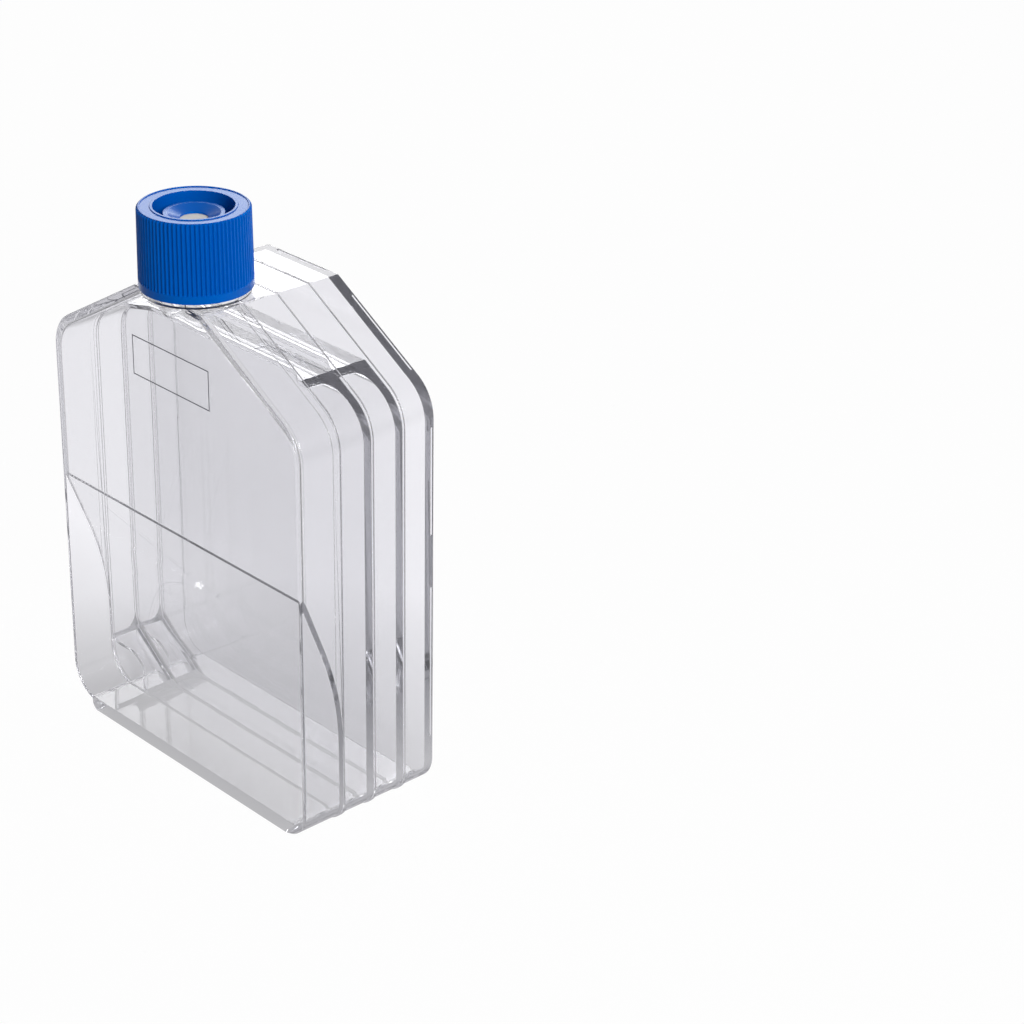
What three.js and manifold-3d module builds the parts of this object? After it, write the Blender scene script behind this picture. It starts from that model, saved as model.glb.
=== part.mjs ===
// A clear multi-layer cell culture flask standing on its end: a cover with the neck, two
// intermediate trays and a base tray, stacked front to back, and a vented screw cap.
// Millimetres, +Z up along the neck. Depths count from the front plate (0) towards the back.
import * as THREE from 'three';
import { mergeVertices } from 'three/addons/utils/BufferGeometryUtils.js';
import Module from 'manifold-3d';

const wasm = await Module();
wasm.setup();

const FAR = 500;
const PAST = 1;
const ARC_STEP = THREE.MathUtils.degToRad(6);
const COARSE_STEP = THREE.MathUtils.degToRad(30);
const ROUND_SEGMENTS = 72;

// Body outline, seen from the front.
const HALF_WIDTH = 65;
const NECK_END_Z = 173.5;
const NECK_END_HALF_WIDTH = 18;
const NECK_END_RADIUS = 1;
const SHOULDER_SLOPE = THREE.MathUtils.degToRad(30);
const SHOULDER_RADIUS = 15;
const PORT_CORNER_RADIUS = 13;
const PLAIN_CORNER_RADIUS = 11.5;
const PLAIN_INNER_RADIUS = 5;
const FOOT_HEIGHT = 3.4;
const FOOT_INSET = 10;
const FOOT_RADIUS = 3;

// Walls.
const WALL = 1.6;
const PLATE = 1.6;
const TRAY_PLATE = 2.9;
const BASE_PLATE = 3;
const SHOULDER_WALL = 2.6;
const NECK_END_WALL = 1.8;
const BOTTOM_WALL = 1.5;

// Depths of the stack, and the bead that each joint leaves outside.
const COVER_DEPTH = 16.9;
const TRAY_PITCH = 13.1;
const BASE_DEPTH = 12.7;
const BEAD_OUT = 0.45;
const COVER_BEAD = 0.4;
const TRAY_BEAD = 1.4;
const LEDGE_DEPTH = 2.6;
const LEDGE_STEP = 0.4;

// Front plate: flat above the crease, then a ramp that an arc brings down to the recessed flat.
const CREASE_Z = 90;
const RAMP_ANGLE = THREE.MathUtils.degToRad(21);
const RAMP_ARC_RADIUS = 103;

// Openings in the intermediate trays, and the dams along their edges.
const MANIFOLD_Z = 154.7;
const PORT_WIDTH = 18.4;
const PORT_HEIGHT = 14;
const DAM_THICKNESS = 1.6;
const DAM_DROP = 4.2;
const DAM_RISE = 10;
const DAM_FILLET = 4.5;

// Grooves in the base plate's edge.
const GROOVE_WIDTH = 0.6;
const GROOVE_DEPTH = 1.3;
const GROOVE_FROM_BACK = 0.9;
const SIDE_GROOVES = [{ low: 20, high: 77 }, { low: 96, high: 135 }];
const SHOULDER_GROOVE_START = 8.9;
const SHOULDER_GROOVE_LENGTH = 34;
const NECK_END_GROOVE_LENGTH = 24.6;
const BOTTOM_GROOVE_INSET = 6;

// Neck.
const NECK_DEPTH = 11.9;
const BORE_RADIUS = 13.2;
const NECK_WALL = 1.7;
const NECK_HEIGHT = 20.6;
const FAIRING_HEIGHT = 5.5;
const FAIRING_IN = 2.7;
const COLLAR_OUT = 2.9;
const COLLAR_LIFT = 0.9;
const COLLAR_THICKNESS = 1.5;

// Thread on the neck, and the one in the cap that runs below it.
const THREAD_PITCH = 4;
const THREAD_TURNS = 1.5;
const THREAD_HEIGHT = 1;
const THREAD_HALF_WIDTH = 0.8;
const THREAD_CREST_HALF_WIDTH = 0.4;
const THREAD_DROP = 11;
const THREAD_SINK = 0.3;
const THREAD_STEPS = 48;
const THREAD_RUN_IN = 4;
const CREST_CLEARANCE = 0.5;

// Cap.
const CAP_WALL = 2.2;
const CAP_TAPER = 0.3;
const CAP_COLLAR_GAP = 0.3;
const CAP_RISE = 8.8;
const CAP_TOP_PLATE = 2;
const CAP_EDGE = 0.6;
const CAP_BAND = 2.6;
const RIB_COUNT = 79;
const RIB_DEPTH = 0.6;
const RIB_RUN_OUT = 0.4;
const MOAT_RADIUS = 13.1;
const MOAT_WALL = 1.6;
const MOAT_FLOOR = 1.8;
const RING_LIP = 0.9;
const RING_RIM = 0.45;
const RING_SINK = 0.3;
const BOSS_RADIUS = 9.9;
const BOSS_DROP = 2.4;
const BOSS_RIM = 1.3;
const BOSS_WALL = 1.5;
const VENT_RADIUS = 4.5;
const VENT_DROP = 4.1;
const VENT_EDGE = 0.6;
const MEMBRANE_RADIUS = 6;
const MEMBRANE_THICKNESS = 0.4;

const TRAY_1_Y = COVER_DEPTH;
const TRAY_2_Y = TRAY_1_Y + TRAY_PITCH;
const BASE_Y = TRAY_2_Y + TRAY_PITCH;
const BACK_Y = BASE_Y + BASE_DEPTH;
const FOOT_X = FOOT_INSET - HALF_WIDTH;
const CHAMBER_FLOOR_Z = FOOT_HEIGHT + BOTTOM_WALL;
const PORT_BOTTOM_X = HALF_WIDTH - WALL - PORT_WIDTH;
const PORT_SIDE_Z = CHAMBER_FLOOR_Z + PORT_HEIGHT;
const NECK_TOP_Z = NECK_END_Z + NECK_HEIGHT;
const NECK_RADIUS = BORE_RADIUS + NECK_WALL;
const COLLAR_Z = NECK_END_Z + COLLAR_LIFT;
const THREAD_Z = NECK_TOP_Z - THREAD_DROP;
const CAP_BOTTOM_Z = COLLAR_Z + COLLAR_THICKNESS + CAP_COLLAR_GAP;
const CAP_TOP_Z = NECK_TOP_Z + CAP_RISE;
const CAP_BORE = NECK_RADIUS + THREAD_HEIGHT + CREST_CLEARANCE;
const CAP_RADIUS = CAP_BORE + CAP_WALL;
const VENT_SEAT_Z = CAP_TOP_Z - VENT_DROP - VENT_EDGE;

// How far each wall of the outline moves inwards, and the radius of the corner opposite the port.
const FLUSH = { side: 0, shoulder: 0, end: 0, bottom: 0, plain: PORT_CORNER_RADIUS };
const CHAMBER = {
  side: WALL, shoulder: SHOULDER_WALL, end: NECK_END_WALL, bottom: BOTTOM_WALL, plain: PLAIN_INNER_RADIUS,
};
const LEDGE = {
  side: WALL - LEDGE_STEP,
  shoulder: SHOULDER_WALL - LEDGE_STEP,
  end: NECK_END_WALL - LEDGE_STEP,
  bottom: BOTTOM_WALL - LEDGE_STEP,
  plain: PLAIN_INNER_RADIUS,
};
const RECESS = { side: WALL, shoulder: WALL, end: WALL, bottom: BOTTOM_WALL, plain: PLAIN_INNER_RADIUS };
const BEAD = {
  side: -BEAD_OUT, shoulder: -BEAD_OUT, end: -BEAD_OUT, bottom: -BEAD_OUT, plain: PORT_CORNER_RADIUS,
};

const vec2 = (x, y) => new THREE.Vector2(x, y);
const vec3 = (x, y, z) => new THREE.Vector3(x, y, z);
const X_AXIS = vec3(1, 0, 0);
const Y_AXIS = vec3(0, 1, 0);
const Z_AXIS = vec3(0, 0, 1);

// ---- solids ----------------------------------------------------------------------------

function solid(geometry) {
  geometry.deleteAttribute('normal');
  geometry.deleteAttribute('uv');
  const merged = mergeVertices(geometry, 1e-5);
  return new wasm.Manifold(new wasm.Mesh({
    numProp: 3,
    vertProperties: new Float32Array(merged.attributes.position.array),
    triVerts: new Uint32Array(merged.index.array),
  }));
}

function namedMesh(name, body, material) {
  const mesh = body.getMesh();
  const geometry = new THREE.BufferGeometry();
  geometry.setAttribute('position', new THREE.BufferAttribute(mesh.vertProperties, 3));
  geometry.setIndex(new THREE.BufferAttribute(mesh.triVerts, 1));
  geometry.computeVertexNormals();
  const node = new THREE.Mesh(geometry, new THREE.MeshStandardMaterial(material));
  node.name = name;
  return node;
}

// Extrudes an outline, drawn on the axes u and v from the origin, along u x v.
function extrude(points, length, origin, u, v) {
  const options = { depth: length, bevelEnabled: false };
  const geometry = new THREE.ExtrudeGeometry(new THREE.Shape(points), options);
  const w = vec3().crossVectors(u, v);
  const place = new THREE.Matrix4().makeBasis(u, v, w).setPosition(origin);
  return solid(geometry.applyMatrix4(place));
}

// An outline seen from the front, between two depths.
const slab = (points, front, back) => extrude(points, back - front, vec3(0, back, 0), X_AXIS, Z_AXIS);

// A side profile of depth and height, right across the width.
const crossBar = (points) => extrude(points, 2 * FAR, vec3(-FAR, 0, 0), Y_AXIS, Z_AXIS);

function box(low, high) {
  const size = vec3().subVectors(high, low);
  const middle = vec3().addVectors(low, high).multiplyScalar(0.5);
  return solid(new THREE.BoxGeometry(size.x, size.y, size.z).translate(middle.x, middle.y, middle.z));
}

// Revolves a closed profile of [radius, z] points about the neck's axis.
function revolve(profile) {
  const points = [...profile, profile[0]].map(([r, z]) => vec2(r, z));
  const geometry = new THREE.LatheGeometry(points, ROUND_SEGMENTS).rotateX(Math.PI / 2);
  return solid(geometry.translate(0, NECK_DEPTH, 0));
}

// ---- outlines --------------------------------------------------------------------------

// The arc that rounds one corner of an outline.
function cornerArc(before, corner, after, radius, step) {
  const toBefore = before.clone().sub(corner).normalize();
  const toAfter = after.clone().sub(corner).normalize();
  const half = Math.acos(toBefore.dot(toAfter)) / 2;
  const inwards = toBefore.clone().add(toAfter).normalize();
  const centre = corner.clone().addScaledVector(inwards, radius / Math.sin(half));
  const sweep = Math.sign(toBefore.cross(toAfter)) * (Math.PI - 2 * half);
  const steps = Math.ceil(Math.abs(sweep) / step);
  return Array.from({ length: steps + 1 }, (_, k) => {
    const spoke = inwards.clone().multiplyScalar(-radius);
    return spoke.rotateAround(vec2(0, 0), sweep * (0.5 - k / steps)).add(centre);
  });
}

// Turns { x, z, radius } corners into an outline with arcs.
function rounded(corners, step = ARC_STEP) {
  const points = corners.map(({ x, z }) => vec2(x, z));
  return corners.flatMap(({ radius }, i) => {
    if (radius <= 0) return [points[i]];
    const before = points[(i + points.length - 1) % points.length];
    return cornerArc(before, points[i], points[(i + 1) % points.length], radius, step);
  });
}

// Height of the shoulder wall's face at x, moved inwards by an inset.
function shoulderZ(x, inset) {
  const drop = inset / Math.cos(SHOULDER_SLOPE);
  return NECK_END_Z - drop - (x - NECK_END_HALF_WIDTH) * Math.tan(SHOULDER_SLOPE);
}

// Half width between the shoulder walls' faces at a height.
function shoulderX(z, inset) {
  return NECK_END_HALF_WIDTH + (shoulderZ(NECK_END_HALF_WIDTH, inset) - z) / Math.tan(SHOULDER_SLOPE);
}

function outline({ side, shoulder, end, bottom, plain }) {
  const x = HALF_WIDTH - side;
  const low = FOOT_HEIGHT + bottom;
  const top = NECK_END_Z - end;
  const right = [
    { x, z: shoulderZ(x, shoulder), radius: SHOULDER_RADIUS - side },
    { x: shoulderX(top, shoulder), z: top, radius: NECK_END_RADIUS - end },
  ];
  const left = right.map((corner) => ({ ...corner, x: -corner.x })).reverse();
  const portCorner = { x: -x, z: low, radius: PORT_CORNER_RADIUS - side };
  return rounded([{ x, z: low, radius: plain }, ...right, ...left, portCorner]);
}

// The foot, from a step at the port's corner to the full corner opposite, which it completes.
function footOutline(out) {
  const x = HALF_WIDTH + out;
  return rounded([
    { x: FOOT_X, z: -out, radius: FOOT_RADIUS },
    { x, z: -out, radius: PLAIN_CORNER_RADIUS + out },
    { x, z: CHAMBER_FLOOR_Z + PLAIN_CORNER_RADIUS, radius: 0 },
    { x: FOOT_X, z: CHAMBER_FLOOR_Z, radius: 0 },
  ]);
}

const layerBlock = (front, back) => slab(outline(FLUSH), front, back).add(slab(footOutline(0), front, back));
const chamber = (front, back) => slab(outline(CHAMBER), front, back);

function bead(front, back) {
  const underground = box(vec3(-FAR, -FAR, -FAR), vec3(FAR, FAR, 0));
  return slab(outline(BEAD), front, back).add(slab(footOutline(BEAD_OUT), front, back)).subtract(underground);
}

// ---- thread ----------------------------------------------------------------------------

// A right-hand ridge that winds up the neck's axis, from a wall at root to a crest.
function threadRidge(root, crest, z) {
  const facing = Math.sign(crest - root);
  const section = (height) => [
    [root - facing * THREAD_SINK, -THREAD_HALF_WIDTH],
    [root + facing * height, -THREAD_CREST_HALF_WIDTH],
    [root + facing * height, THREAD_CREST_HALF_WIDTH],
    [root - facing * THREAD_SINK, THREAD_HALF_WIDTH],
  ];
  const count = Math.round(THREAD_TURNS * THREAD_STEPS);
  const positions = [];
  const index = [];
  for (let i = 0; i <= count; i += 1) {
    const angle = (2 * Math.PI * i) / THREAD_STEPS;
    const fade = Math.min(i, count - i, THREAD_RUN_IN) / THREAD_RUN_IN;
    const height = Math.abs(crest - root) * fade - (THREAD_SINK / 2) * (1 - fade);
    for (const [r, dz] of section(height)) {
      const lift = (THREAD_PITCH * i) / THREAD_STEPS + facing * dz;
      positions.push(r * Math.cos(angle), NECK_DEPTH + r * Math.sin(angle), z + lift);
    }
  }
  for (let i = 0; i < count; i += 1) {
    for (let j = 0; j < 4; j += 1) {
      const a = 4 * i + j;
      const b = 4 * i + (j + 1) % 4;
      index.push(b, a, a + 4, b, a + 4, b + 4);
    }
  }
  const last = 4 * count;
  index.push(0, 1, 2, 0, 2, 3, last, last + 2, last + 1, last, last + 3, last + 2);
  const geometry = new THREE.BufferGeometry();
  geometry.setAttribute('position', new THREE.Float32BufferAttribute(positions, 3));
  return solid(geometry.setIndex(index));
}

// ---- cover and neck --------------------------------------------------------------------

// The front plate's face in side view, moved back by an offset, and closed at another depth.
function plateProfile(offset, closeY) {
  const centreY = COVER_DEPTH - PLATE - RAMP_ARC_RADIUS;
  const tangentY = centreY + RAMP_ARC_RADIUS * Math.cos(RAMP_ANGLE);
  const tangentZ = CREASE_Z - tangentY / Math.tan(RAMP_ANGLE);
  const centreZ = tangentZ - RAMP_ARC_RADIUS * Math.sin(RAMP_ANGLE);
  const steps = Math.ceil((2 * RAMP_ANGLE) / ARC_STEP);
  const radius = RAMP_ARC_RADIUS + offset;
  const arc = Array.from({ length: steps + 1 }, (_, k) => {
    const angle = RAMP_ANGLE * (1 - k / steps);
    return vec2(centreY + radius * Math.cos(angle), centreZ + radius * Math.sin(angle));
  });
  const crease = vec2(offset, CREASE_Z + offset * Math.tan(RAMP_ANGLE / 2));
  const low = vec2(centreY + radius, -FAR);
  return [vec2(closeY, FAR), vec2(offset, FAR), crease, ...arc, low, vec2(closeY, -FAR)];
}

// The solid neck: a fairing in front of the body, the tube with its thread, and the collar.
function neck() {
  const fairingZ = NECK_END_Z - FAIRING_HEIGHT;
  const collarTop = COLLAR_Z + COLLAR_THICKNESS;
  const overTrays = box(vec3(-FAR, COVER_DEPTH, 0), vec3(FAR, FAR, NECK_END_Z));
  return revolve([
    [0, fairingZ],
    [NECK_RADIUS - FAIRING_IN, fairingZ],
    [NECK_RADIUS, NECK_END_Z],
    [NECK_RADIUS, COLLAR_Z],
    [NECK_RADIUS + COLLAR_OUT, COLLAR_Z],
    [NECK_RADIUS + COLLAR_OUT, collarTop],
    [NECK_RADIUS, collarTop],
    [NECK_RADIUS, NECK_TOP_Z],
    [0, NECK_TOP_Z],
  ]).add(threadRidge(NECK_RADIUS, NECK_RADIUS + THREAD_HEIGHT, THREAD_Z)).subtract(overTrays);
}

// The bore at full width behind the front plate, and tapered inside the fairing.
function bore() {
  const low = NECK_END_Z - NECK_END_WALL - PAST;
  const high = NECK_TOP_Z + PAST;
  const straight = revolve([[0, low], [BORE_RADIUS, low], [BORE_RADIUS, high], [0, high]]);
  const fairingZ = NECK_END_Z - FAIRING_HEIGHT - PAST;
  const tapered = revolve([
    [0, fairingZ],
    [BORE_RADIUS - FAIRING_IN, fairingZ],
    [BORE_RADIUS - FAIRING_IN, NECK_END_Z - FAIRING_HEIGHT],
    [BORE_RADIUS, NECK_END_Z],
    [0, NECK_END_Z],
  ]);
  const frontWall = box(vec3(-FAR, -FAR, 0), vec3(FAR, PLATE, NECK_END_Z));
  const reach = box(vec3(-FAR, -FAR, NECK_END_Z - FAIRING_HEIGHT), vec3(FAR, FAR, FAR));
  return straight.subtract(frontWall).add(tapered.intersect(reach));
}

// Clears the neck and its bore out of a tray that reaches under them.
const underNeck = (tray) => tray.subtract(neck()).subtract(bore());

function cover() {
  const below = box(vec3(-FAR, -FAR, -FAR), vec3(FAR, FAR, CREASE_Z));
  const recess = crossBar(plateProfile(0, -FAR))
    .intersect(slab(outline(RECESS), -PAST, COVER_DEPTH))
    .intersect(below);
  const behindPlate = crossBar(plateProfile(PLATE, FAR));
  const ledge = slab(outline(LEDGE), COVER_DEPTH - LEDGE_DEPTH, COVER_DEPTH + PAST);
  const space = behindPlate.intersect(chamber(0, COVER_DEPTH + PAST).add(ledge));
  return layerBlock(0, COVER_DEPTH)
    .add(bead(COVER_DEPTH - COVER_BEAD, COVER_DEPTH))
    .add(neck())
    .subtract(recess)
    .subtract(space)
    .subtract(bore());
}

// ---- trays -----------------------------------------------------------------------------

// Runs a section of [across, depth] points along the line from a to b and on past both ends.
// Across counts to the right of that line, seen from the front.
function alongLine(section, a, b) {
  const along = vec3(b.x - a.x, 0, b.y - a.y).normalize();
  const start = vec3(a.x, 0, a.y).addScaledVector(along, -FAR);
  return extrude(section, 2 * FAR, start, vec3(along.z, 0, -along.x), Y_AXIS);
}

// What is cut from a dam between its two ends: low in the middle, with an S curve at each end.
function damNotch(front, a, b) {
  const along = vec3(b.x - a.x, 0, b.y - a.y).normalize();
  const length = a.distanceTo(b);
  const rise = Math.min(DAM_RISE, length / 2);
  const steps = 8;
  const curve = Array.from({ length: steps + 1 }, (_, k) => {
    const depth = (DAM_DROP * (1 - Math.cos((Math.PI * k) / steps))) / 2;
    return vec2((rise * k) / steps, front + depth);
  });
  const farCurve = curve.map(({ x, y }) => vec2(length - x, y)).reverse();
  const points = [vec2(0, front - PAST), ...curve, ...farCurve, vec2(length, front - PAST)];
  const start = vec3(a.x, 0, a.y).addScaledVector(vec3(along.z, 0, -along.x), FAR);
  return extrude(points, 2 * FAR, start, along, Y_AXIS);
}

// A low wall along the edge of an opening, filleted into the growth surface.
function dam(front, growth, back, a, b) {
  const steps = 6;
  const foot = DAM_THICKNESS + DAM_FILLET;
  const fillet = Array.from({ length: steps + 1 }, (_, k) => {
    const angle = (Math.PI * k) / steps / 2;
    return vec2(foot - DAM_FILLET * Math.cos(angle), growth - DAM_FILLET * (1 - Math.sin(angle)));
  });
  const section = [vec2(0, back), vec2(0, front), vec2(DAM_THICKNESS, front), ...fillet, vec2(foot, back)];
  return alongLine(section, a, b).subtract(damNotch(front, a, b));
}

// An intermediate tray: open along the neck end and at the mixing port's corner.
function intermediateTray(front) {
  const back = front + TRAY_PITCH;
  const growth = back - TRAY_PLATE;
  const manifoldX = shoulderX(MANIFOLD_Z, SHOULDER_WALL);
  const edges = [
    [vec2(-manifoldX, MANIFOLD_Z), vec2(manifoldX, MANIFOLD_Z)],
    [vec2(-PORT_BOTTOM_X, CHAMBER_FLOOR_Z), vec2(WALL - HALF_WIDTH, PORT_SIDE_Z)],
  ];
  const beyond = [
    vec2(0, front - PAST), vec2(0, back + PAST), vec2(-FAR, back + PAST), vec2(-FAR, front - PAST),
  ];
  let tray = layerBlock(front, back)
    .add(bead(front, front + TRAY_BEAD))
    .subtract(chamber(front - PAST, growth));
  for (const [a, b] of edges) {
    tray = tray
      .subtract(alongLine(beyond, a, b).intersect(chamber(front - PAST, back + PAST)))
      .add(dam(front, growth, back, a, b).intersect(layerBlock(front, back)));
  }
  return tray;
}

// A groove across the base plate's edge, along the wall from one point of its outer face to another.
function edgeGroove(a, b) {
  const along = vec3(b.x - a.x, 0, b.y - a.y).normalize();
  const across = vec3(-along.z, 0, along.x);
  const low = BACK_Y - GROOVE_FROM_BACK - GROOVE_WIDTH / 2;
  const radius = GROOVE_WIDTH / 2;
  const length = a.distanceTo(b);
  const shape = rounded([
    { x: 0, z: low, radius },
    { x: length, z: low, radius },
    { x: length, z: low + GROOVE_WIDTH, radius },
    { x: 0, z: low + GROOVE_WIDTH, radius },
  ], COARSE_STEP);
  const start = vec3(a.x, 0, a.y).addScaledVector(across, -GROOVE_DEPTH);
  return extrude(shape, 2 * GROOVE_DEPTH, start, along, Y_AXIS);
}

function edgeGrooves() {
  const onShoulder = (distance) => vec2(
    NECK_END_HALF_WIDTH + distance * Math.cos(SHOULDER_SLOPE),
    NECK_END_Z - distance * Math.sin(SHOULDER_SLOPE),
  );
  const shoulderEnd = SHOULDER_GROOVE_START + SHOULDER_GROOVE_LENGTH;
  const right = [
    ...SIDE_GROOVES.map(({ low, high }) => [vec2(HALF_WIDTH, low), vec2(HALF_WIDTH, high)]),
    [onShoulder(SHOULDER_GROOVE_START), onShoulder(shoulderEnd)],
  ];
  const left = right.map(([a, b]) => [vec2(-a.x, a.y), vec2(-b.x, b.y)]);
  const neckEndX = NECK_END_GROOVE_LENGTH / 2;
  const bottomX = -FOOT_X - BOTTOM_GROOVE_INSET;
  const middle = [
    [vec2(-neckEndX, NECK_END_Z), vec2(neckEndX, NECK_END_Z)],
    [vec2(-bottomX, 0), vec2(bottomX, 0)],
  ];
  return [...right, ...left, ...middle].map(([a, b]) => edgeGroove(a, b));
}

function baseTray() {
  const tray = layerBlock(BASE_Y, BACK_Y)
    .add(bead(BASE_Y, BASE_Y + TRAY_BEAD))
    .subtract(chamber(BASE_Y - PAST, BACK_Y - BASE_PLATE));
  return edgeGrooves().reduce((body, groove) => body.subtract(groove), tray);
}

// ---- cap -------------------------------------------------------------------------------

// A solid ribbed plug from rings of { z, crest, root } radii.
function ribbedPlug(levels) {
  const perRing = 4 * RIB_COUNT;
  const positions = [];
  const index = [];
  for (const { z, crest, root } of levels) {
    for (let k = 0; k < perRing; k += 1) {
      const angle = (2 * Math.PI * (k + 0.5)) / perRing;
      const r = k % 4 < 2 ? crest : root;
      positions.push(r * Math.cos(angle), NECK_DEPTH + r * Math.sin(angle), z);
    }
  }
  for (let ring = 0; ring < levels.length - 1; ring += 1) {
    for (let k = 0; k < perRing; k += 1) {
      const a = ring * perRing + k;
      const b = ring * perRing + (k + 1) % perRing;
      index.push(a, b, b + perRing, a, b + perRing, a + perRing);
    }
  }
  const lowCentre = positions.length / 3;
  const highCentre = lowCentre + 1;
  const lastRing = (levels.length - 1) * perRing;
  positions.push(0, NECK_DEPTH, levels[0].z, 0, NECK_DEPTH, levels[levels.length - 1].z);
  for (let k = 0; k < perRing; k += 1) {
    const next = (k + 1) % perRing;
    index.push(lowCentre, next, k, highCentre, lastRing + k, lastRing + next);
  }
  const geometry = new THREE.BufferGeometry();
  geometry.setAttribute('position', new THREE.Float32BufferAttribute(positions, 3));
  return solid(geometry.setIndex(index));
}

// The space under the cap: around the neck, over the moat's floor and inside the boss.
function capInside() {
  const plateZ = CAP_TOP_Z - CAP_TOP_PLATE;
  return revolve([
    [0, CAP_BOTTOM_Z - PAST],
    [CAP_BORE, CAP_BOTTOM_Z - PAST],
    [CAP_BORE, plateZ],
    [MOAT_RADIUS + MOAT_WALL, plateZ],
    [MOAT_RADIUS + MOAT_WALL, NECK_TOP_Z],
    [BOSS_RADIUS - BOSS_WALL, NECK_TOP_Z],
    [BOSS_RADIUS - BOSS_WALL, VENT_SEAT_Z],
    [0, VENT_SEAT_Z],
  ]);
}

// The moat, the boss's dished top and the vent, from above.
function capOutside() {
  return revolve([
    [0, VENT_SEAT_Z - PAST],
    [VENT_RADIUS, VENT_SEAT_Z - PAST],
    [VENT_RADIUS, CAP_TOP_Z - VENT_DROP],
    [BOSS_RADIUS - BOSS_RIM, CAP_TOP_Z - BOSS_DROP],
    [BOSS_RADIUS, CAP_TOP_Z - BOSS_DROP],
    [BOSS_RADIUS, NECK_TOP_Z + MOAT_FLOOR],
    [MOAT_RADIUS, NECK_TOP_Z + MOAT_FLOOR],
    [MOAT_RADIUS, CAP_TOP_Z + PAST],
    [0, CAP_TOP_Z + PAST],
  ]);
}

// The flat ring of the cap's top, sunk between its rim and the moat's lip.
function sunkRing() {
  const low = CAP_TOP_Z - RING_SINK;
  const high = CAP_TOP_Z + PAST;
  const inner = MOAT_RADIUS + RING_LIP;
  const outer = CAP_RADIUS - CAP_TAPER - CAP_EDGE - RING_RIM;
  return revolve([[inner, low], [outer, low], [outer, high], [inner, high]]);
}

function cap() {
  const bandZ = CAP_BOTTOM_Z + CAP_BAND;
  const edgeZ = CAP_TOP_Z - CAP_EDGE;
  const topRadius = CAP_RADIUS - CAP_TAPER;
  const levels = [
    { z: CAP_BOTTOM_Z, crest: CAP_RADIUS, root: CAP_RADIUS },
    { z: bandZ, crest: CAP_RADIUS, root: CAP_RADIUS },
    { z: bandZ + RIB_RUN_OUT, crest: CAP_RADIUS, root: CAP_RADIUS - RIB_DEPTH },
    { z: edgeZ, crest: topRadius, root: topRadius - RIB_DEPTH },
    { z: CAP_TOP_Z, crest: topRadius - CAP_EDGE, root: topRadius - CAP_EDGE },
  ];
  return ribbedPlug(levels)
    .subtract(capInside())
    .subtract(capOutside())
    .subtract(sunkRing())
    .add(threadRidge(CAP_BORE, NECK_RADIUS + CREST_CLEARANCE, THREAD_Z - THREAD_PITCH / 2));
}

function ventMembrane() {
  const low = VENT_SEAT_Z - MEMBRANE_THICKNESS;
  return revolve([[0, low], [MEMBRANE_RADIUS, low], [MEMBRANE_RADIUS, VENT_SEAT_Z], [0, VENT_SEAT_Z]]);
}

// ---- the flask, centred over its footprint ---------------------------------------------

const clear = { color: 0xe8eaf2, roughness: 0.05, metalness: 0, transparent: true, opacity: 0.35 };
const blue = { color: 0x0068c8, roughness: 0.4, metalness: 0 };
const white = { color: 0xebe6dc, roughness: 0.9, metalness: 0 };

const flask = new THREE.Group();
flask.add(namedMesh('cover', cover(), clear));
flask.add(namedMesh('intermediate_tray_1', underNeck(intermediateTray(TRAY_1_Y)), clear));
flask.add(namedMesh('intermediate_tray_2', intermediateTray(TRAY_2_Y), clear));
flask.add(namedMesh('base_tray', baseTray(), clear));
flask.add(namedMesh('cap', cap(), blue));
flask.add(namedMesh('vent_membrane', ventMembrane(), white));
flask.position.y = -(BACK_Y + NECK_DEPTH - CAP_RADIUS) / 2;

export default flask;
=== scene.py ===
"""Looks of the cell culture flask: clear polystyrene body, blue vented cap and printed label frame."""
import math

import bmesh
import bpy
from mathutils import Matrix, Vector


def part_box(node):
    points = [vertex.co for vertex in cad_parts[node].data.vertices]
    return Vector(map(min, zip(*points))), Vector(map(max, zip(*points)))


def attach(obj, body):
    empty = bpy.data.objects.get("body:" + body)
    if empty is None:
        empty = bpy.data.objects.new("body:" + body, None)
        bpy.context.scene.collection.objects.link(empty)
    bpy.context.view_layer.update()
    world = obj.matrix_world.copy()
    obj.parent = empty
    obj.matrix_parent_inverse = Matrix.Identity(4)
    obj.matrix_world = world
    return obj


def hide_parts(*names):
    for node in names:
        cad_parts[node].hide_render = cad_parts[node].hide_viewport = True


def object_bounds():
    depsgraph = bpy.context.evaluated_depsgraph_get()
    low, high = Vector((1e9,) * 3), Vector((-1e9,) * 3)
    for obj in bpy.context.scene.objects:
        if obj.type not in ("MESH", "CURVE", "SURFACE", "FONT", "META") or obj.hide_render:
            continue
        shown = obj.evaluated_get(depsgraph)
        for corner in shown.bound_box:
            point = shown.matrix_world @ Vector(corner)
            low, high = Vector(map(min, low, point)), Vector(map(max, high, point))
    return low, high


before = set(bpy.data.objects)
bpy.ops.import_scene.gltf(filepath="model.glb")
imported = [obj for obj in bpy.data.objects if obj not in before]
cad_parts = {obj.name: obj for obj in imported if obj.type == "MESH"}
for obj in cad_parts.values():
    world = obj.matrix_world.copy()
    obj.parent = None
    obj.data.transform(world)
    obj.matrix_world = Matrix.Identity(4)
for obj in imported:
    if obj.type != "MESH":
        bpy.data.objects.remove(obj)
cad_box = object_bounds()

MM = 0.001

# Camera, as the product is usually shown: from the front right and above.
CAMERA_AZIMUTH = math.radians(46.367)
CAMERA_ELEVATION = math.radians(26.329)
CAMERA_ROLL = math.radians(1.037)
CAMERA_AIM = Vector((0.0664, 0.0652, 0.0939))
CAMERA_DISTANCE = 0.9304
CAMERA_LENS = 97.72

# The fused body, and how far its edges are rounded.
BODY_NODES = ("cover", "intermediate_tray_1", "intermediate_tray_2", "base_tray")
CORNER_RADIUS = 1.2 * MM
RIM_RADIUS = 0.6 * MM
EDGE_RADIUS = 0.25 * MM
CAP_EDGE_RADIUS = 0.12 * MM

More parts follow.
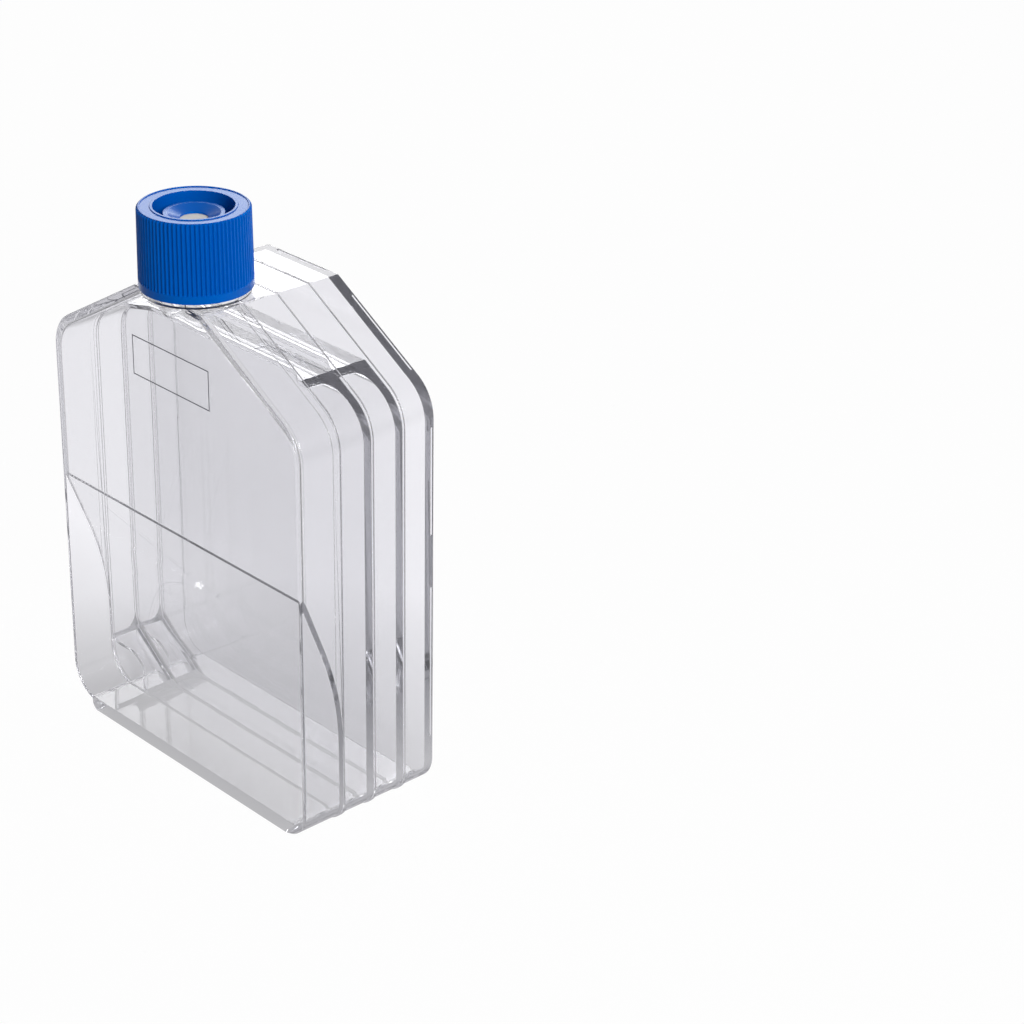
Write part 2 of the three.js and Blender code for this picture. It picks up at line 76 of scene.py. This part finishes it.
# An edge is rounded where it turns by more than this, and by up to this share of its faces' breadth.
EDGE_TURN = math.radians(17)
EDGE_SHARE = 0.4

# Where the front plate, its rim and corner, the neck and the ground are.
COVER_DEPTH = 16.9 * MM
FRONT_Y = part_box("intermediate_tray_1")[0].y - COVER_DEPTH
CREASE_Z = 90.0 * MM
RIM_TAPER = 16.0 * MM
RIM_FACING = 0.5
CORNER_REACH = 2.0 * MM
WALL_LEAN = 0.1
PLATE_FACING = 0.8
NECK_AXIS = sum(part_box("vent_membrane"), Vector()) / 2
NECK_FOOT = 166.0 * MM
NECK_REACH = 17.95 * MM
GROUND_GAP = 0.1 * MM

# What counts as one point, and as one flat face.
SEAM_GAP = 0.001 * MM
WELD_GAP = 0.002 * MM
FLAT_TURN = math.radians(0.5)

# Corner normals: a face over this area blends over gentle turns alone.
FLAT_AREA = 60 * MM * MM
GENTLE_TURN = math.cos(math.radians(8))
BLEND_TURN = math.cos(math.radians(50))

# Clear polystyrene, with a faint haze and flow marks.
IOR = 1.59
CLEAR_TINT = (0.985, 0.985, 0.992, 1.0)
SHADOW_TINT = (0.97, 0.97, 0.975, 1.0)
ABSORPTION = (0.80, 0.80, 0.815, 1.0)
ABSORPTION_DENSITY = 34.0
CLEAR_HAZE = (0.0, 0.015)

# The cap, the print and the membrane.
CAP_BLUES = ((0.0, 0.085, 0.42, 1.0), (0.0, 0.100, 0.47, 1.0))
CAP_GLOSS = (0.2, 0.26)
CAP_GLINT = (0.0, 0.42, 1.0, 1.0)
INK_COLOUR = (0.18, 0.18, 0.21, 1.0)
INK_GLOSS = (0.4, 0.6)
FIBRE_COLOURS = ((0.62, 0.60, 0.56, 1.0), (0.82, 0.80, 0.76, 1.0))

# The studio seen in the plastic: bright behind the object, and dimmer in front, above, under it and along
# the horizon; on the floor this is painted light, with a painted shadow round the flask. The world lights
# matt surfaces half as much, so that the side lamp shapes the cap's ribs.
STUDIO_TINT = (0.975, 0.97, 1.0, 1.0)
BACK_LEVEL = 1.0
FRONT_LEVEL = 0.45
TOP_LEVEL = 0.55
# Painted shadow: how dark the floor is painted next to the flask.
PAINTED_SHADOW_LEVEL = 0.7
HORIZON_LEVEL = 0.5
DIFFUSE_LEVEL = 0.5

# Where those levels pass into each other: by place on the floor, and by direction in the world.
# The floor's painted shadow fades out between these distances from the flask; far off and in front the
# floor is painted dimmer.
PAINTED_SHADOW_REACH = (0.05, 0.13)
FLOOR_FAR = (0.65, 1.0)
FLOOR_DEPTH = (-0.1, 0.06)
WORLD_HORIZON = (0.12, 0.27)
WORLD_TOP = (0.3, 0.9)
WORLD_DEPTH = (-0.5, 0.4)

# The floor is white to the camera, but for a share that shows its shading.
WHITE = (1.0, 1.0, 1.0, 1.0)
FLOOR_COLOUR = (0.6, 0.6, 0.6, 1.0)
FLOOR_WHITE_SHARE = 0.97
FLOOR_RADIUS = 4.0

# Light passes many walls in the flask.
BOUNCES = 96
TRANSPARENT_BOUNCES = 48

# Printed frame of the label field, on the front plate.
LABEL_LOW = Vector((-20.0 * MM, 141.7 * MM))
LABEL_HIGH = Vector((20.5 * MM, 155.7 * MM))
LABEL_LINE = 0.4 * MM
INK_THICKNESS = 0.03 * MM


def new_tree(name):
    """A material with an empty node tree, and its output node."""
    material = bpy.data.materials.new(name)
    material.use_nodes = True
    tree = material.node_tree
    tree.nodes.clear()
    return material, tree, tree.nodes.new("ShaderNodeOutputMaterial")


def add(tree, kind, links=None, **values):
    """Adds a node, sets its inputs or properties by name, and links the given sockets to its inputs."""
    node = tree.nodes.new(kind)
    for key, value in values.items():
        socket = next((s for s in node.inputs if s.name.replace(" ", "_").lower() == key), None)
        if socket is None:
            setattr(node, key, value)
        else:
            socket.default_value = value
    for name, source in (links or {}).items():
        tree.links.new(source, node.inputs[name])
    return node


def noise(tree, scale, detail=3.0, roughness=0.5):
    """A noise that is fixed to the object."""
    coords = add(tree, "ShaderNodeTexCoord")
    return add(tree, "ShaderNodeTexNoise", {"Vector": coords.outputs["Object"]},
               scale=scale, detail=detail, roughness=roughness)


def ramp(tree, source, start, end, low, high):
    """A value that runs from low at start to high at end."""
    return add(tree, "ShaderNodeMapRange", {"Value": source}, from_min=start, from_max=end,
               to_min=low, to_max=high).outputs["Result"]


def spread(tree, source, low, high):
    """A noise's middle range spread from low to high."""
    return ramp(tree, source, 0.3, 0.7, low, high)


def joined(tree, operation, first, second):
    """Two values combined by a math node."""
    return add(tree, "ShaderNodeMath", {0: first, 1: second}, operation=operation).outputs[0]


def two_tone(tree, factor, colours):
    """A colour between two, by a factor."""
    mix = add(tree, "ShaderNodeMix", {"Factor": factor}, data_type="RGBA")
    mix.inputs[6].default_value, mix.inputs[7].default_value = colours
    return mix.outputs[2]


def clear_plastic(name):
    """Glass-clear plastic that lets the lamps' light through to what is behind it."""
    material, tree, output = new_tree(name)
    haze = spread(tree, noise(tree, 60.0).outputs["Fac"], *CLEAR_HAZE)
    flow = noise(tree, 25.0, detail=1.0)
    bump = add(tree, "ShaderNodeBump", {"Height": flow.outputs["Fac"]}, strength=0.04, distance=0.0001)
    glass = add(tree, "ShaderNodeBsdfPrincipled", {"Roughness": haze, "Normal": bump.outputs["Normal"]},
                base_color=CLEAR_TINT, ior=IOR, transmission_weight=1.0)
    lamps = add(tree, "ShaderNodeBsdfTransparent", color=SHADOW_TINT)
    path = add(tree, "ShaderNodeLightPath")
    mix = add(tree, "ShaderNodeMixShader", {"Fac": path.outputs["Is Shadow Ray"]})
    tree.links.new(glass.outputs[0], mix.inputs[1])
    tree.links.new(lamps.outputs[0], mix.inputs[2])
    tree.links.new(mix.outputs[0], output.inputs["Surface"])
    volume = add(tree, "ShaderNodeVolumeAbsorption", color=ABSORPTION, density=ABSORPTION_DENSITY)
    tree.links.new(volume.outputs[0], output.inputs["Volume"])
    return material


def cap_plastic(name):
    """Satin blue plastic with a fine grain."""
    material, tree, output = new_tree(name)
    grain = noise(tree, 900.0)
    shade = noise(tree, 40.0)
    colour = two_tone(tree, shade.outputs["Fac"], CAP_BLUES)
    bump = add(tree, "ShaderNodeBump", {"Height": grain.outputs["Fac"]}, strength=0.06, distance=0.00003)
    gloss = spread(tree, shade.outputs["Fac"], *CAP_GLOSS)
    shader = add(tree, "ShaderNodeBsdfPrincipled",
                 {"Base Color": colour, "Roughness": gloss, "Normal": bump.outputs["Normal"]},
                 subsurface_weight=0.05, subsurface_scale=0.002, specular_ior_level=0.34,
                 specular_tint=CAP_GLINT)
    tree.links.new(shader.outputs[0], output.inputs["Surface"])
    return material


def ink(name):
    """Dark printing ink with an uneven gloss."""
    material, tree, output = new_tree(name)
    speckle = noise(tree, 3000.0)
    gloss = spread(tree, speckle.outputs["Fac"], *INK_GLOSS)
    shader = add(tree, "ShaderNodeBsdfPrincipled", {"Roughness": gloss}, base_color=INK_COLOUR)
    tree.links.new(shader.outputs[0], output.inputs["Surface"])
    return material


def membrane_material(name):
    """The vent's matt, fibrous filter."""
    material, tree, output = new_tree(name)
    fibre = noise(tree, 2500.0, detail=6.0, roughness=0.7)
    colour = two_tone(tree, fibre.outputs["Fac"], FIBRE_COLOURS)
    bump = add(tree, "ShaderNodeBump", {"Height": fibre.outputs["Fac"]}, strength=0.4, distance=0.0001)
    shader = add(tree, "ShaderNodeBsdfPrincipled",
                 {"Base Color": colour, "Normal": bump.outputs["Normal"]}, roughness=0.8)
    tree.links.new(shader.outputs[0], output.inputs["Surface"])
    return material


def painted_floor_light(tree):
    """Painted light and shade on the floor as seen in the plastic, by place: a painted shadow round the
    flask, brighter behind it, and dimmer in front and far off.
    """
    place = add(tree, "ShaderNodeTexCoord").outputs["Object"]
    split = add(tree, "ShaderNodeSeparateXYZ", {"Vector": place})
    away = add(tree, "ShaderNodeVectorMath", {0: place}, operation="LENGTH").outputs["Value"]
    # Painted shadow: the floor is darker close to the flask.
    near = ramp(tree, away, *PAINTED_SHADOW_REACH, PAINTED_SHADOW_LEVEL, 1.0)
    # Painted shade: the floor dims far off, along the horizon.
    far = ramp(tree, away, *FLOOR_FAR, 1.0, HORIZON_LEVEL)
    # Painted light: the floor is brighter behind the flask than in front.
    depth = ramp(tree, split.outputs["Y"], *FLOOR_DEPTH, FRONT_LEVEL, BACK_LEVEL)
    return joined(tree, "MULTIPLY", joined(tree, "MULTIPLY", near, far), depth)


def floor_material(name):
    """White to the camera; seen in the plastic it glows with painted light and a painted shadow round the
    flask.
    """
    material, tree, output = new_tree(name)
    surface = add(tree, "ShaderNodeBsdfDiffuse", color=FLOOR_COLOUR)
    path = add(tree, "ShaderNodeLightPath")
    seen = joined(tree, "MAXIMUM", path.outputs["Is Transmission Ray"], path.outputs["Is Glossy Ray"])
    # The floor glows with this painted light and shade, though it is no lamp.
    studio = add(tree, "ShaderNodeEmission", {"Strength": painted_floor_light(tree)}, color=STUDIO_TINT)
    white = add(tree, "ShaderNodeEmission", color=WHITE, strength=1.0)
    share = ramp(tree, path.outputs["Is Camera Ray"], 0.0, 1.0, 0.0, FLOOR_WHITE_SHARE)
    inside = add(tree, "ShaderNodeMixShader", {0: seen, 1: surface.outputs[0], 2: studio.outputs[0]})
    mix = add(tree, "ShaderNodeMixShader", {0: share, 1: inside.outputs[0], 2: white.outputs[0]})
    tree.links.new(mix.outputs[0], output.inputs["Surface"])
    return material


def piece(name, mesh, material):
    """A new piece of the object with smooth shading, at rest in the shared frame."""
    mesh.materials.clear()
    mesh.materials.append(material)
    mesh.polygons.foreach_set("use_smooth", [True] * len(mesh.polygons))
    obj = bpy.data.objects.new(name, mesh)
    bpy.context.scene.collection.objects.link(obj)
    return obj


def modifier(obj, kind, **values):
    """Adds a modifier with the given settings."""
    added = obj.modifiers.new(kind.lower(), kind)
    for key, value in values.items():
        setattr(added, key, value)


def apply_modifiers(obj):
    """Turns an object's modifiers into its mesh."""
    graph = bpy.context.evaluated_depsgraph_get()
    mesh = bpy.data.meshes.new_from_object(obj.evaluated_get(graph), preserve_all_data_layers=True,
                                           depsgraph=graph)
    obj.modifiers.clear()
    obj.data = mesh


def closed_copy(node):
    """A node's mesh with its split corners merged again."""
    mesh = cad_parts[node].data.copy()
    shape = bmesh.new()
    shape.from_mesh(mesh)
    bmesh.ops.remove_doubles(shape, verts=shape.verts, dist=SEAM_GAP)
    shape.to_mesh(mesh)
    shape.free()
    for layer in list(mesh.attributes):
        if layer.name == "custom_normal":
            mesh.attributes.remove(layer)
    return mesh


def build_cap(material):
    """The screw cap with its edges and ribs slightly rounded."""
    cap = piece("screw_cap", closed_copy("cap"), material)
    dissolve_flats(cap)
    round_edges(cap, CAP_EDGE_RADIUS, 2, lambda edge: CAP_EDGE_RADIUS)
    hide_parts("cap")
    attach(cap, "cap")


def build_label_frame(material):
    """A printed rectangle on the front plate."""
    shape = bmesh.new()
    front = FRONT_Y - INK_THICKNESS
    rings = []
    for inset in (0.0, LABEL_LINE):
        low = LABEL_LOW + Vector((inset, inset))
        high = LABEL_HIGH - Vector((inset, inset))
        corners = ((low.x, low.y), (high.x, low.y), (high.x, high.y), (low.x, high.y))
        rings.append([shape.verts.new((x, front, z)) for x, z in corners])
    for k in range(4):
        after = (k + 1) % 4
        shape.faces.new((rings[0][k], rings[0][after], rings[1][after], rings[1][k]))
    faces = bmesh.ops.extrude_face_region(shape, geom=list(shape.faces))["geom"]
    moved = [item for item in faces if isinstance(item, bmesh.types.BMVert)]
    bmesh.ops.translate(shape, verts=moved, vec=(0.0, INK_THICKNESS, 0.0))
    bmesh.ops.recalc_face_normals(shape, faces=shape.faces)
    mesh = bpy.data.meshes.new("label_frame")
    shape.to_mesh(mesh)
    shape.free()
    frame_piece = piece("label_frame", mesh, material)
    mesh.polygons.foreach_set("use_smooth", [False] * len(mesh.polygons))
    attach(frame_piece, "flask")


def dissolve_flats(obj):
    """Joins the triangles of each flat face into one face."""
    shape = bmesh.new()
    shape.from_mesh(obj.data)
    bmesh.ops.remove_doubles(shape, verts=shape.verts, dist=WELD_GAP)
    bmesh.ops.dissolve_limit(shape, angle_limit=FLAT_TURN, verts=shape.verts, edges=shape.edges)
    shape.to_mesh(obj.data)
    shape.free()


def smooth_normals(mesh):
    """Corner normals that blend over small faces and gentle turns, and leave flat walls flat."""
    around = [[] for _ in mesh.vertices]
    for face in mesh.polygons:
        for vertex in face.vertices:
            around[vertex].append(face)
    normals = []
    for face in mesh.polygons:
        limit = GENTLE_TURN if face.area > FLAT_AREA else BLEND_TURN
        for vertex in face.vertices:
            near = [other for other in around[vertex] if face.normal.dot(other.normal) > limit]
            normals.append(sum((other.normal * other.area for other in near), Vector()).normalized())
    mesh.normals_split_custom_set(normals)


def breadth(face, edge):
    """About how far a face reaches away from one of its edges."""
    across = face.calc_area() / edge.calc_length() if len(face.verts) == 4 else 0.0
    return max(across, 2.0 * face.calc_area() / face.calc_perimeter())


def round_edges(obj, widest, segments, radius_of):
    """Rounds the edges that turn sharply, less where a face is too narrow for two of them."""
    shape = bmesh.new()
    shape.from_mesh(obj.data)
    weights = shape.edges.layers.float.new("bevel_weight_edge")
    for edge in shape.edges:
        if edge.calc_face_angle(0.0) > EDGE_TURN:
            room = min(breadth(face, edge) for face in edge.link_faces)
            edge[weights] = min(radius_of(edge), EDGE_SHARE * room) / widest
    shape.to_mesh(obj.data)
    shape.free()
    modifier(obj, "BEVEL", width=widest, segments=segments, limit_method="WEIGHT",
             use_clamp_overlap=False, miter_outer="MITER_ARC")
    apply_modifiers(obj)
    smooth_normals(obj.data)


def on_rim(edge):
    """Whether an edge is on the outside of the front plate's rim."""
    place = edge.verts[0].co
    outwards = Vector((place.x, 0.0, place.z - CREASE_Z)).normalized()
    depth = max(vertex.co.y for vertex in edge.verts) - FRONT_Y
    facing = max(face.normal.dot(outwards) for face in edge.link_faces)
    return depth < GROUND_GAP and facing > RIM_FACING


def in_front_corner(edge):
    """Whether an edge is inside the first chamber, where the front plate's flat meets the outer wall."""
    depth = max(vertex.co.y for vertex in edge.verts) - FRONT_Y
    wall, plate = sorted((face.normal for face in edge.link_faces), key=lambda normal: normal.y)
    inside = not edge.is_convex and depth < CORNER_REACH
    return inside and abs(wall.y) < WALL_LEAN and plate.y > PLATE_FACING


def body_radius(edge):
    """Widest in the front corner, wide on the rim, none at the neck and on the ground, small elsewhere."""
    places = [vertex.co for vertex in edge.verts]
    lowest = min(place.z for place in places)
    from_axis = max((place - NECK_AXIS).to_2d().length for place in places)
    if lowest < GROUND_GAP or (lowest > NECK_FOOT and from_axis < NECK_REACH):
        return 0.0
    if in_front_corner(edge):
        return CORNER_RADIUS
    if on_rim(edge):
        return EDGE_RADIUS + (RIM_RADIUS - EDGE_RADIUS) * min(lowest / RIM_TAPER, 1.0)
    return EDGE_RADIUS


def build_body(material):
    """The cover and trays fused into one clear piece."""
    parts = [piece(f"{node}_fused", closed_copy(node), material) for node in BODY_NODES]
    body = parts[0]
    body.name = "fused_body"
    for other in parts[1:]:
        modifier(body, "BOOLEAN", operation="UNION", solver="EXACT", object=other)
    apply_modifiers(body)
    for other in parts[1:]:
        bpy.data.objects.remove(other)
    dissolve_flats(body)
    round_edges(body, CORNER_RADIUS, 3, body_radius)
    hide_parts(*BODY_NODES)
    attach(body, "flask")


def dress(node, material):
    """Gives a node of the frame a material as it is."""
    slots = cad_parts[node].data.materials
    slots.clear()
    slots.append(material)


def build_camera():
    """The camera at the photograph's angle."""
    toward = Vector((
        math.sin(CAMERA_AZIMUTH) * math.cos(CAMERA_ELEVATION),
        -math.cos(CAMERA_AZIMUTH) * math.cos(CAMERA_ELEVATION),
        math.sin(CAMERA_ELEVATION),
    ))
    data = bpy.data.cameras.new("camera")
    data.lens = CAMERA_LENS
    data.sensor_width = 36.0
    data.clip_end = 20.0
    camera = bpy.data.objects.new("camera", data)
    bpy.context.scene.collection.objects.link(camera)
    turn = toward.to_track_quat("Z", "Y").to_matrix().to_4x4() @ Matrix.Rotation(CAMERA_ROLL, 4, "Z")
    camera.matrix_world = Matrix.Translation(CAMERA_AIM + toward * CAMERA_DISTANCE) @ turn
    bpy.context.scene.camera = camera


def build_floor():
    """A plain round floor under the flask."""
    mesh = bpy.data.meshes.new("floor")
    shape = bmesh.new()
    bmesh.ops.create_circle(shape, cap_ends=True, segments=96, radius=FLOOR_RADIUS)
    shape.to_mesh(mesh)
    shape.free()
    mesh.materials.append(floor_material("floor"))
    floor = bpy.data.objects.new("floor", mesh)
    floor.location.z = cad_box[0][2]
    bpy.context.scene.collection.objects.link(floor)


def build_lamp(name, place, size, power):
    """A round soft lamp that faces the flask."""
    data = bpy.data.lights.new(name, "AREA")
    data.shape = "DISK"
    data.size = size
    data.energy = power
    lamp = bpy.data.objects.new(name, data)
    lamp.location = place
    lamp.rotation_euler = (CAMERA_AIM - Vector(place)).to_track_quat("-Z", "Y").to_euler()
    bpy.context.scene.collection.objects.link(lamp)


def build_world():
    """White to the camera; otherwise it has the studio's levels, by direction."""
    world = bpy.data.worlds.new("studio")
    world.use_nodes = True
    tree = world.node_tree
    tree.nodes.clear()
    output = add(tree, "ShaderNodeOutputWorld")
    path = add(tree, "ShaderNodeLightPath")
    direction = add(tree, "ShaderNodeTexCoord").outputs["Generated"]
    split = add(tree, "ShaderNodeSeparateXYZ", {"Vector": direction})
    low = ramp(tree, split.outputs["Z"], *WORLD_HORIZON, HORIZON_LEVEL, 1.0)
    top = ramp(tree, split.outputs["Z"], *WORLD_TOP, 1.0, TOP_LEVEL)
    depth = ramp(tree, split.outputs["Y"], *WORLD_DEPTH, FRONT_LEVEL, BACK_LEVEL)
    level = joined(tree, "MULTIPLY", joined(tree, "MULTIPLY", low, top), depth)
    soft = ramp(tree, path.outputs["Is Diffuse Ray"], 0.0, 1.0, 1.0, DIFFUSE_LEVEL)
    strength = joined(tree, "MULTIPLY", level, soft)
    studio = add(tree, "ShaderNodeBackground", {"Strength": strength}, color=STUDIO_TINT)
    white = add(tree, "ShaderNodeBackground", color=WHITE, strength=1.0)
    mix = add(tree, "ShaderNodeMixShader",
              {0: path.outputs["Is Camera Ray"], 1: studio.outputs[0], 2: white.outputs[0]})
    tree.links.new(mix.outputs[0], output.inputs["Surface"])
    bpy.context.scene.world = world


scene = bpy.context.scene
scene.view_settings.view_transform = "Standard"
scene.cycles.max_bounces = BOUNCES
scene.cycles.transmission_bounces = BOUNCES
scene.cycles.glossy_bounces = BOUNCES
scene.cycles.transparent_max_bounces = TRANSPARENT_BOUNCES

build_camera()
build_world()
build_floor()
build_lamp("side", (1.15, -0.25, 0.9), 0.8, 17.0)
build_lamp("back", (-0.78, 0.74, 0.72), 0.7, 3.4)

build_body(clear_plastic("clear_polystyrene"))
build_cap(cap_plastic("blue_polyethylene"))
build_label_frame(ink("printing_ink"))
dress("vent_membrane", membrane_material("filter_membrane"))
